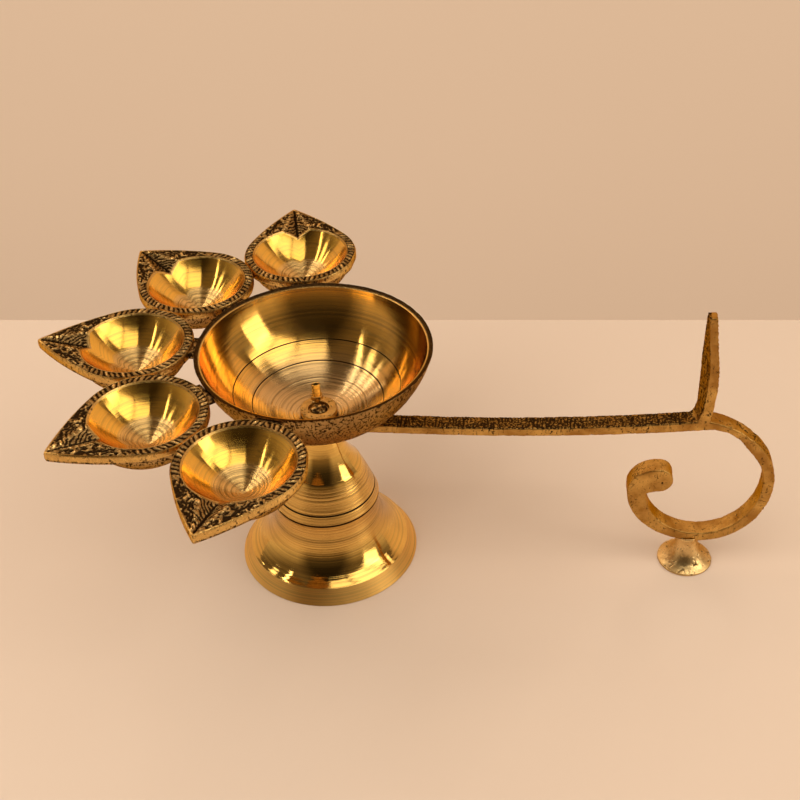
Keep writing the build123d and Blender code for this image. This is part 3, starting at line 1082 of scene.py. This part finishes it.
def cast_copy(node, name, voxel_mm, rounds):
    """A copy of a solid with an even skin and soft edges, and how far each vertex was pulled in."""
    piece = bpy.data.objects.new(name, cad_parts[node].data.copy())
    piece.data.name = name
    piece.data.materials.clear()
    scene.collection.objects.link(piece)
    pick(piece)
    bpy.ops.object.mode_set(mode="EDIT")
    bpy.ops.mesh.select_all(action="SELECT")
    bpy.ops.mesh.remove_doubles(threshold=MERGE_DISTANCE)
    bpy.ops.object.mode_set(mode="OBJECT")
    bpy.ops.object.modifier_add(type="REMESH")
    piece.modifiers[-1].mode = "VOXEL"
    piece.modifiers[-1].voxel_size = voxel_mm * MM
    bpy.ops.object.modifier_apply(modifier=piece.modifiers[-1].name)
    before = [vertex.co.copy() for vertex in piece.data.vertices]
    bpy.ops.object.modifier_add(type="SMOOTH")
    piece.modifiers[-1].factor = 0.5
    piece.modifiers[-1].iterations = rounds
    bpy.ops.object.modifier_apply(modifier=piece.modifiers[-1].name)
    pulled = []
    for vertex, old in zip(piece.data.vertices, before):
        pulled.append((old - vertex.co).dot(vertex.normal) / MM)
    print(name, "cast:", len(piece.data.polygons), "faces")
    return piece, pulled


def finish_casting(piece, finish, wear, grime_and_shade, body, node):
    """Stores the wear and the darkness of a casting, painted shadow where there is any, gives it its finish
    and puts it in its node's place.
    """
    store(piece, "wear", wear)
    store(piece, "grime_and_shade", grime_and_shade)
    finish_faces(piece, [finish], one_finish, CASTING_ANGLE)
    place_in_lamp(piece, body, node)


# %% Marks of hammer, file and mould
hammer_pitch = 1.35
hammer_depth = 0.34


def hammer_marks(place):
    """Ribs across the arm's top face, uneven as the hammer left them."""
    wander = 0.55 * lumps(Vector((place.x * 0.3, place.y * 0.12, 3.0)), 1.0, 2)
    rib = ridge(place.x / hammer_pitch + wander, 2.0)
    return hammer_depth * (1 - rib) * smoothstep(-0.5, 0.4, lumps(place, 6.0, 2))


def scratches(place):
    """Short thin nicks, where a soft noise passes through zero."""
    line = 1 - abs(lumps(place, 3.4, 2))
    return smoothstep(0.90, 0.98, line) * smoothstep(0.0, 0.35, lumps(place + Vector((5, 0, 0)), 2.6, 2))


def cracks(place):
    """Fine cracks of the mould between flat cells."""
    near, next_near = noise.voronoi(place / 2.4)[0][:2]
    return smoothstep(0.16, 0.02, next_near - near)


# %% Handle
scratch_depth = 0.20
pit_depth = 0.26
nick_depth = 0.24
nick_pitch = 1.9
slant_depth = 0.20
slant_pitch = 1.7
crack_depth = 0.22
arm_end = 146.0
arm_floor = 66.0
rest_start = arm_floor + 12
scroll_centre = Vector((151.0, 0, 44.0))
handle, handle_pulled = cast_copy("handle", "handle_cast", voxel_mm=0.36, rounds=5)


def handle_skin(place, normal):
    """Lumps, scratches and pits all over, and on arm, thumb rest and scroll the marks of their making."""
    depth = 0.09 + 0.10 * lumps(place, 3.2, 2) + 0.06 * lumps(place, 1.1, 2)
    depth += scratch_depth * scratches(place) + pit_depth * smoothstep(0.68, 0.95, lumps(place, 2.2, 2))
    on_arm = place.z > arm_floor and place.x < arm_end
    if on_arm and normal.z > 0.5:
        depth += hammer_marks(place)
    if on_arm and abs(normal.y) > 0.5:
        nick = ridge(place.x / nick_pitch + 0.8 * lumps(place, 3.0, 2), 1.3)
        depth += nick_depth * (1 - nick) * smoothstep(-0.2, 0.4, lumps(place, 5.0, 2))
    if place.z > rest_start:
        slant = ridge((place.z * 0.8 + place.y * 0.9) / slant_pitch + 0.4 * lumps(place, 3.0, 2), 1.6)
        depth += slant_depth * (1 - slant) * smoothstep(0.0, 0.35, normal.x) * smoothstep(84, 96, place.z)
    if place.x > scroll_centre.x + 6 and place.z > scroll_centre.z - 18:
        depth += crack_depth * cracks(place) * smoothstep(-0.2, 0.3, lumps(place, 7.0, 2))
    return max(0.0, depth)


handle_depths = carve(handle, handle_skin)


# %% Patina and darkening of the handle
pit_patina = 0.9
arm_patina = 0.58
rest_left_darker = 0.45
scroll_patina = 0.30
rubbed_per_mm = 1.2


def facing_up(normal):
    return smoothstep(0.35, 0.8, normal.z)


def handle_patina_and_tone(vertex, depth, pulled):
    """Oxide in the pits and on the arm's top, a darker tone on the thumb rest's faces that point left, less
    where fingers rub.
    """
    place = vertex.co / MM
    darkening = smoothstep(0.20, 0.46, depth) * pit_patina
    if place.x < arm_end and place.z > arm_floor:
        darkening += arm_patina * facing_up(vertex.normal)
    # Higher up, on the thumb rest, faces that point left are made darker.
    if place.z > arm_floor + 10:
        darkening += rest_left_darker * smoothstep(0.3, 0.7, -vertex.normal.x)
    if place.z < arm_floor:
        outer = (place - scroll_centre).normalized().dot(vertex.normal)
        darkening += scroll_patina * smoothstep(0.4, 0.9, outer) * facing_up(vertex.normal)
    return max(0.0, darkening - rubbed_per_mm * max(0.0, pulled))


handle_wear = [smoothstep(0.02, 0.16, pulled) for pulled in handle_pulled]
handle_dark_values = []
for vertex, depth, pulled in zip(handle.data.vertices, handle_depths, handle_pulled):
    handle_dark_values.append(handle_patina_and_tone(vertex, depth, pulled))
finish_casting(handle, handle_finish, handle_wear, handle_dark_values, "handle", "handle")
print("handle patina, mean:", round(sum(handle_dark_values) / len(handle_dark_values), 3))


# %% Handle foot
foot_flat = 0.4
foot, foot_pulled = cast_copy("handle_foot", "handle_foot_cast", voxel_mm=0.26, rounds=4)


def foot_skin(place, normal):
    """The foot stays flat where it stands, and is lumpy and scratched above."""
    if place.z < foot_flat:
        return 0.0
    return max(0.0, 0.05 + 0.06 * lumps(place, 2.5, 2) + scratch_depth * scratches(place))


foot_depths = carve(foot, foot_skin)
foot_wear = [0.45 + smoothstep(0.02, 0.14, pulled) * 0.5 for pulled in foot_pulled]
foot_grime = [smoothstep(0.10, 0.30, depth) * 0.7 for depth in foot_depths]
finish_casting(foot, foot_finish, foot_wear, foot_grime, "handle", "handle_foot")


# %% [markdown]
# ## The fittings in the bowl
#
# At the middle of the bowl sits a rough cast boss with a leaning spout, a polished tube in the spout,
# and the end of the stud, hammered over a washer in the boss's socket. The boss is cast as the handle
# was. The tube is spun, with a rolled lip. The stud is spun too, and its threads are pulled out of its
# shank ring by ring.

# %% Wick holder
holder, holder_pulled = cast_copy("wick_holder", "wick_holder_cast", voxel_mm=0.14, rounds=4)


def holder_skin(place, normal):
    """A fine rough skin with pits."""
    pit = smoothstep(0.25, 0.65, lumps(place, 0.9, 2))
    return max(0.0, 0.02 + 0.05 * lumps(place, 0.7, 3) + 0.12 * pit)


holder_depths = carve(holder, holder_skin)
holder_wear = [smoothstep(0.01, 0.07, pulled) for pulled in holder_pulled]
holder_foot = box_in_mm("wick_holder")[0].z
holder_pits_and_shadow = []
for vertex, depth in zip(holder.data.vertices, holder_depths):
    # Within 2.6 mm of its foot the holder takes the oxide colour as a painted shadow where it stands in the
    # bowl; its pits take real oxide.
    painted_foot_shadow = smoothstep(2.6, 0.4, vertex.co.z / MM - holder_foot)
    holder_pits_and_shadow.append(max(painted_foot_shadow, smoothstep(0.03, 0.14, depth) * 0.75))
finish_casting(holder, holder_finish, holder_wear, holder_pits_and_shadow, "bowl", "wick_holder")


# %% [markdown]
# The tube is spun upright at the origin and only then leant into the spout. A quaternion that tracks
# the leaning direction turns it, and the box of its node gives the place of its middle.

# %% Wick tube
TUBE_STEPS = 64
TUBE_SATIN = 0.2
TUBE_RINGS = 10
tube_radius = 1.75
tube_bore = 1.35
tube_half = 3.5
tube_lean = Vector((-0.4, 1.6, 6.1))
lip_radius = (tube_radius - tube_bore) / 2
lip_foot = tube_half - lip_radius
tube_outline = [Vector((tube_bore, -tube_half)), Vector((tube_radius, -tube_half))]
for step in range(1, TUBE_RINGS + 1):
    tube_outline.append(Vector((tube_radius, mix(-tube_half, lip_foot, step / TUBE_RINGS))))
tube_outline += arc((tube_radius, lip_foot), (tube_bore, lip_foot), -lip_radius * 0.99, count=8)
mouth_row = len(tube_outline) - 1
for share in (0.25, 0.5, 0.75, 1):
    tube_outline.append(Vector((tube_bore, mix(tube_half, -tube_half, share))))
tube = spin_outline("wick_tube_drawn", tube_outline, TUBE_STEPS)
tube_rows = rows_of(tube, tube_outline)
map_turning(tube, tube_outline, tube_rows, bearings_of(tube))
store(tube, "satin", [TUBE_SATIN] * len(tube_rows))
store(tube, "wear", [0.0] * len(tube_rows))
store(tube, "grime_and_shade", [1.0 if row > mouth_row else 0.0 for row in tube_rows])


def tube_material(face):
    """Bright outside and on the lip, dark in the bore."""
    return int(min(tube_rows[vertex] for vertex in face.vertices) >= mouth_row - 1)


finish_faces(tube, [bell_finish, fitting_finish], tube_material)
tube_low, tube_high = box_in_mm("wick_tube")
tube_turn = tube_lean.to_track_quat("Z", "Y").to_matrix().to_4x4()
tube.data.transform(Matrix.Translation((tube_low + tube_high) / 2 * MM) @ tube_turn)
place_in_lamp(tube, "bowl", "wick_tube")


# %% [markdown]
# A thread could be made with the Screw modifier. Here each ring of the shank is pulled in by how far it
# lies from the crest of a helix, which keeps the stud one closed mesh. The hammered end is carved like
# a casting.

# %% Stud
STUD_STEPS = 72
STUD_ANGLE = 40
HEAD_RINGS = 12
stud_low, stud_high = box_in_mm("stud")
stud_radius = 3.0
head_radius = stud_high.x
head_height = 1.2
head_round = 0.9
thread_pitch = 1.0
thread_depth = 0.55
thread_top = pedestal_top + 1.0
thread_fade = 1.2
thread_rows = 150
head_seat = stud_high.z - head_height
stud_outline = [Vector((0, stud_low.z)), Vector((stud_radius - thread_depth, stud_low.z))]
for step in range(thread_rows + 1):
    stud_outline.append(Vector((stud_radius, mix(stud_low.z + 0.2, thread_top, step / thread_rows))))
stud_outline += [Vector((stud_radius, head_seat)), Vector((head_radius, head_seat))]
round_start = Vector((head_radius, stud_high.z - head_round))
round_end = Vector((head_radius - head_round, stud_high.z))
stud_outline += [round_start] + arc(round_start, round_end, -head_round * 0.29, count=6)
for step in range(1, HEAD_RINGS + 1):
    stud_outline.append(Vector((mix(round_end.x, 0, step / HEAD_RINGS), stud_high.z)))
stud = spin_outline("stud_peened", stud_outline, STUD_STEPS)
for vertex in stud.data.vertices:
    height = vertex.co.z / MM
    if stud_low.z + 0.1 < height < thread_top - 0.05:
        turn = math.atan2(vertex.co.y, vertex.co.x) / math.tau
        crest = abs(2 * ((height / thread_pitch - turn) % 1.0) - 1)
        below_end = smoothstep(thread_top, thread_top - thread_fade, height)
        radius = stud_radius - thread_depth * (1 - crest) * below_end
        vertex.co.x *= radius / stud_radius
        vertex.co.y *= radius / stud_radius


def peened_skin(place, normal):
    """The hammered end is lumpy, and the shank keeps its threads."""
    if place.z < head_seat + 0.1:
        return 0.0
    return 0.16 + 0.20 * lumps(place, 1.3, 2) + 0.06 * lumps(place, 0.5, 2)


stud_depths = carve(stud, peened_skin)
store(stud, "wear", [smoothstep(0.16, 0.02, depth) for depth in stud_depths])
store(stud, "grime_and_shade", [smoothstep(0.10, 0.30, depth) for depth in stud_depths])
finish_faces(stud, [fitting_finish], one_finish, STUD_ANGLE)
place_in_lamp(stud, "bowl", "stud")

# %% Washer
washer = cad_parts["rivet_washer"]
washer.data.materials.clear()
washer.data.materials.append(holder_finish)
print("fittings:", holder.name, tube.name, stud.name, washer.name)


# %% [markdown]
# ## Floor, light and camera
#
# The lamp stands on a plain pale table before a plain warm wall. The camera looks down on it from a
# little to the right of its middle, through a lens that is slightly long, as for a picture in a
# catalogue.

# %% Camera
camera_place = Vector((77.70, -397.26, 384.45))
camera_bearing = math.radians(6.542)
camera_drop = math.radians(37.441)
camera_roll = math.radians(2.242)
camera_data = bpy.data.cameras.new("camera")
camera_data.lens = 58.5
camera = bpy.data.objects.new("camera", camera_data)
scene.collection.objects.link(camera)
level_turn = Matrix.Rotation(camera_bearing, 4, "Z") @ Matrix.Rotation(math.pi / 2 - camera_drop, 4, "X")
roll_turn = Matrix.Rotation(-camera_roll, 4, "Z")
camera.matrix_world = Matrix.Translation(camera_place * MM) @ level_turn @ roll_turn
scene.camera = camera
print("camera at", [round(value) for value in camera_place], "mm, lens", camera_data.lens, "mm")


# %% [markdown]
# The table ends in a straight far edge, and the wall stands behind it. The edge could be placed by
# trial. Here the camera's own ray through a row of the picture says where on the floor that row lies,
# and the table is laid along it.

# %% Table and wall
FLOOR_CREAM = (0.73, 0.60, 0.50)
WALL_BEIGE = (0.66, 0.50, 0.37)
FRAME_PIXELS = 800
horizon_row = 320
pixels_per_unit = camera_data.lens / camera_data.sensor_width * FRAME_PIXELS


def floor_under_pixel(column, row):
    """Where the ray through a pixel of the picture meets the floor, in metres."""
    ray = Vector((column - FRAME_PIXELS / 2, FRAME_PIXELS / 2 - row, -pixels_per_unit))
    ray = camera.matrix_world.to_3x3() @ ray
    eye = camera.matrix_world.translation
    return eye - ray * (eye.z / ray.z)


def stage_material(name, colour, roughness, specular, glow=0.0):
    material = bpy.data.materials.new(name)
    material.use_nodes = True
    shader = material.node_tree.nodes["Principled BSDF"]
    shader.inputs["Base Color"].default_value = (*colour, 1.0)
    shader.inputs["Roughness"].default_value = roughness
    shader.inputs["Specular IOR Level"].default_value = specular
    shader.inputs["Emission Color"].default_value = (*colour, 1.0)
    shader.inputs["Emission Strength"].default_value = glow
    return material


table_edge_left = floor_under_pixel(0, horizon_row)
table_edge_right = floor_under_pixel(FRAME_PIXELS, horizon_row)
edge_run = (table_edge_right - table_edge_left).normalized()
edge_out = Vector((-edge_run.y, edge_run.x, 0))
table_size = 2.4
table_centre = (table_edge_left + table_edge_right) / 2 - edge_out * table_size / 2
table_bearing = math.atan2(edge_run.y, edge_run.x)
bpy.ops.object.select_all(action="DESELECT")
bpy.ops.mesh.primitive_plane_add(size=table_size, location=table_centre, rotation=(0, 0, table_bearing))
table = bpy.context.object
table.name = "table"
table.data.materials.append(stage_material("cream_table", FLOOR_CREAM, roughness=0.24, specular=0.5))
wall_distance = 0.75
wall_size = 5
wall_place = table_centre + edge_out * (table_size / 2 + wall_distance)
wall_turn = (math.pi / 2, 0, table_bearing)
bpy.ops.mesh.primitive_plane_add(size=wall_size, location=wall_place, rotation=wall_turn)
wall = bpy.context.object
wall.name = "wall"
wall_paint = stage_material("beige_wall", WALL_BEIGE, roughness=0.9, specular=0.1, glow=0.36)
wall.data.materials.append(wall_paint)
print("table and wall:", table.name, wall.name)


# %% [markdown]
# Brass is only as good as what it mirrors, so the lights are shapes: three level panels over the front
# and the right, which the hollows show on their left, narrow strips high on the left, which they show
# as streaks on their right, and a small window for the bell's right side. A wide fill lights table and
# wall, and the brass does not mirror it.


# %% Shapes of light
WARM_WHITE = (1.0, 0.90, 0.76)
LAMP_MIDDLE = Vector((0, 0, 0.08))
PANEL_HEIGHT = 1.45
PANEL_NEAR = -0.85
STRIP_DISTANCE = 1.4


def soft_box(name, towards, distance, width, height, radiance):
    """A rectangular light in a direction from the lamp, given by its brightness and not by its power."""
    place = LAMP_MIDDLE + Vector(towards).normalized() * distance
    bpy.ops.object.light_add(type="AREA", location=place)
    light = bpy.context.object
    light.name = name
    light.data.shape = "RECTANGLE"
    light.data.size = width
    light.data.size_y = height
    light.data.energy = radiance * math.pi * width * height
    light.data.color = WARM_WHITE
    light.rotation_euler = (LAMP_MIDDLE - place).to_track_quat("-Z", "Y").to_euler()
    light.visible_camera = False
    return light


def ceiling_panel(name, left, right, far, radiance):
    """A level panel over the front of the lamp, from left to right and back to far, shining down."""
    place = Vector(((left + right) / 2, (PANEL_NEAR + far) / 2, PANEL_HEIGHT))
    panel = soft_box(name, place, 1.0, right - left, far - PANEL_NEAR, radiance)
    panel.location = place
    panel.rotation_euler = (0, 0, 0)
    return panel


def light_strip(name, start, end, width, radiance):
    """A long narrow light between two directions from the lamp, facing the lamp."""
    first = Vector(start).normalized() * STRIP_DISTANCE
    last = Vector(end).normalized() * STRIP_DISTANCE
    middle = (first + last) / 2
    along = (last - first).normalized()
    back = (middle - along * middle.dot(along)).normalized()
    light = soft_box(name, middle, middle.length, (last - first).length, width, radiance)
    axes = Matrix((along, back.cross(along), back)).transposed().to_4x4()
    light.matrix_world = Matrix.Translation(LAMP_MIDDLE + middle) @ axes
    return light


# %% Lights round the lamp
ceiling_panel("key_first", left=-0.20, right=0.52, far=0.05, radiance=1.6)
ceiling_panel("key_second", left=0.60, right=1.35, far=0.15, radiance=2.0)
ceiling_panel("key_third", left=1.43, right=2.30, far=0.60, radiance=2.2)
soft_box("window_right", (0.90, -0.20, 0.40), distance=1.50, width=0.60, height=0.60, radiance=2.6)
light_strip("strip_first", (-0.43, 0.36, 0.83), (-0.66, -0.42, 0.62), width=0.05, radiance=7.0)
light_strip("strip_second", (-0.52, 0.42, 0.74), (-0.78, -0.10, 0.60), width=0.16, radiance=2.6)
light_strip("strip_third", (-0.58, 0.50, 0.64), (-0.80, 0.20, 0.56), width=0.07, radiance=5.0)
light_strip("strip_fourth", (-0.60, 0.60, 0.52), (-0.70, 0.56, 0.44), width=0.10, radiance=2.6)
room_fill = soft_box("room_fill", (-0.45, -0.55, 0.70), distance=2.20, width=2.2, height=2.2, radiance=2.4)
room_fill.visible_glossy = False
print("lights:", len(bpy.data.lights))


# %% [markdown]
# The rest of the room is two soft ramps of colour. It is warm and lit behind the lamp and at its sides,
# and dark in front, because polished brass needs something dark to mirror beside the lights.


# %% Warm room
def height_ramp(tree, height, stops):
    """A ramp of colours over the height of a direction, from stops of place and colour."""
    node = tree.nodes.new("ShaderNodeValToRGB")
    tree.links.new(height, node.inputs["Fac"])
    elements = node.color_ramp.elements
    first, *between, last = stops
    for element, (place, colour) in zip(elements, (first, last)):
        element.position = place
        element.color = (*colour, 1.0)
    for place, colour in between:
        elements.new(place).color = (*colour, 1.0)
    return node.outputs["Color"]


world = bpy.data.worlds.new("warm_room")
scene.world = world
world.use_nodes = True
tree = world.node_tree
direction = tree.nodes.new("ShaderNodeSeparateXYZ")
tree.links.new(tree.nodes.new("ShaderNodeTexCoord").outputs["Generated"], direction.inputs["Vector"])
upward = direction.outputs["Z"]
lit_stops = [(0.0, (0.66, 0.50, 0.35)), (0.5, (0.14, 0.10, 0.065))]
lit_room = height_ramp(tree, upward, lit_stops)
dark_stops = [(0.0, (0.26, 0.17, 0.095)), (0.30, (0.07, 0.05, 0.03)), (0.60, (0.02, 0.014, 0.008))]
dark_room = height_ramp(tree, upward, dark_stops)
sideways = math_value(tree, "ABSOLUTE", direction.outputs["X"], 0.0)
backward = math_value(tree, "ADD", direction.outputs["Y"], math_value(tree, "MULTIPLY", sideways, 0.6))
room_share = remapped(tree, backward, -0.55, -0.2, 0.0, 1.0)
room = mixed_colour(tree, room_share, dark_room, lit_room)
tree.links.new(room, tree.nodes["Background"].inputs["Color"])
scene.view_settings.view_transform = "Standard"
print("room:", world.name)
